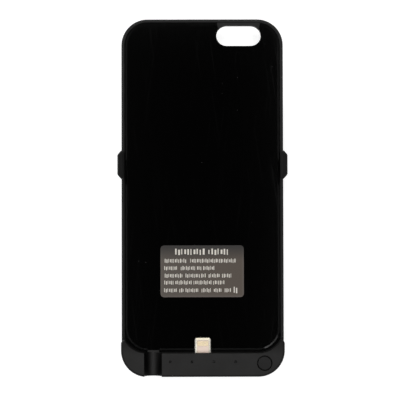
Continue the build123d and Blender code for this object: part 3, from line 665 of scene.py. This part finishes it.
ink_thickness = 0.02 * mm
vertices, faces = ink_boxes(ink_ticks(), label_high.z, label_high.z + ink_thickness)
print_mesh = bpy.data.meshes.new("label_print")
print_mesh.from_pydata(vertices.tolist(), [], faces.tolist())
label_print = bpy.data.objects.new("label_print", print_mesh)
bpy.context.scene.collection.objects.link(label_print)
label_ink = moulded(
    "label_ink", colour=(0.72, 0.68, 0.61), roughness=0.5, grain=0.3 * mm, spread=0.3, depth=0.002 * mm,
)
print_mesh.materials.append(label_ink)
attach(label_print, "case")

# Floor
# A sheet of white paper under the case, which glows, so that it is as white as the room to the lens. It takes
# the case's shadow. Only the lens sees it, and only from above, and light from below goes through it.
floor_half = 0.55
floor_drop = 0.3 * mm
floor_mesh = bpy.data.meshes.new("floor")
corners = floor_half * np.array([[-1, -1], [1, -1], [1, 1], [-1, 1]], float)
floor_mesh.from_pydata(np.column_stack([corners, np.full(4, -floor_drop)]).tolist(), [], [[0, 1, 2, 3]])
floor = bpy.data.objects.new("floor", floor_mesh)
bpy.context.scene.collection.objects.link(floor)
paper = moulded(
    "floor_paper", colour=(0.6, 0.6, 0.6), roughness=0.9, grain=4.0 * mm, spread=0.01, depth=0.001 * mm,
    Emission_Color=(1.0, 1.0, 1.0, 1.0), Emission_Strength=0.75,
)
tree = paper.node_tree
shader = tree.nodes["Principled BSDF"]
from_below = wire(tree, "NewGeometry", {})["Backfacing"]
clear = wire(tree, "BsdfTransparent", {})["BSDF"]
seen = wire(tree, "MixShader", {0: from_below, 1: shader.outputs["BSDF"], 2: clear})["Shader"]
tree.links.new(seen, tree.nodes["Material Output"].inputs["Surface"])
floor_mesh.materials.append(paper)
floor.visible_diffuse = False
floor.visible_glossy = False
floor.visible_shadow = False

# Studio light
# Four soft boxes hang in a ring overhead, with the dark between them straight above the case, so that the
# gloss tray mirrors only that. A low box far left catches the edges, one below lights the back, and the room
# is white to the lens, and to the case white below the horizon and dark above it.


def soft_box(name, place, aim, size, glow):
    """Area light that shines from its place to its aim, unseen by the lens.

    Its width and depth are in metres, and its glow is in watts a square metre.
    """
    width, depth = size
    data = bpy.data.lights.new(name, "AREA")
    data.shape = "RECTANGLE"
    data.size = width
    data.size_y = depth
    data.energy = glow * width * depth
    box = bpy.data.objects.new(name, data)
    box.location = place
    box.rotation_euler = (Vector(aim) - Vector(place)).to_track_quat("-Z", "Y").to_euler()
    box.visible_camera = False
    bpy.context.scene.collection.objects.link(box)


ring_height = 0.95
ring_glow = 19.0
end_box = (0.64, 0.16)
side_box = (0.20, 0.48)
for name, x, y, size in (
    ("far_light", 0.0, 0.32, end_box), ("near_light", 0.0, -0.32, end_box),
    ("left_light", -0.22, 0.0, side_box), ("right_light", 0.22, 0.0, side_box),
):
    soft_box(name, place=(x, y, ring_height), aim=(x, y, 0.0), size=size, glow=ring_glow)
soft_box("corner_light", place=(-0.75, 0.75, 0.25), aim=(0.0, 0.0, 0.01), size=(1.1, 0.25), glow=20.0)
soft_box("back_light", place=(-0.7, 0.5, -0.7), aim=(0.0, 0.0, 0.0), size=(0.6, 0.6), glow=10.0)

horizon_blur = 0.35
world = bpy.data.worlds.new("studio")
bpy.context.scene.world = world
world.use_nodes = True
tree = world.node_tree
direction = wire(tree, "TexCoord", {})["Generated"]
height = wire(tree, "SeparateXYZ", {"Vector": direction})["Z"]
room = step(tree, height, start=horizon_blur, end=-horizon_blur)
to_lens = wire(tree, "LightPath", {})["Is Camera Ray"]
background = tree.nodes["Background"].inputs
background["Color"].default_value = (1.0, 1.0, 1.0, 1.0)
tree.links.new(maths(tree, "MAXIMUM", room, to_lens), background["Strength"])

# Camera
# It hangs over the tray and looks almost straight down, from a little towards the plug end. Its focal length
# is in pixels of the square picture, and its tilt is in radians about X, Y and Z.
image_side = 400
focal_pixels = 1414.3
camera_place = (-3.75 * mm, -15.595 * mm, 615.0 * mm)
camera_tilt = (0.02382, -0.00445, -0.00235)
lens = bpy.data.cameras.new("camera")
lens.sensor_width = 36.0
lens.lens = focal_pixels * lens.sensor_width / image_side
lens.clip_start = 0.01
lens.clip_end = 20.0
camera = bpy.data.objects.new("camera", lens)
camera.location = camera_place
camera.rotation_euler = camera_tilt
bpy.context.scene.collection.objects.link(camera)
bpy.context.scene.camera = camera
bpy.context.scene.view_settings.view_transform = "Standard"
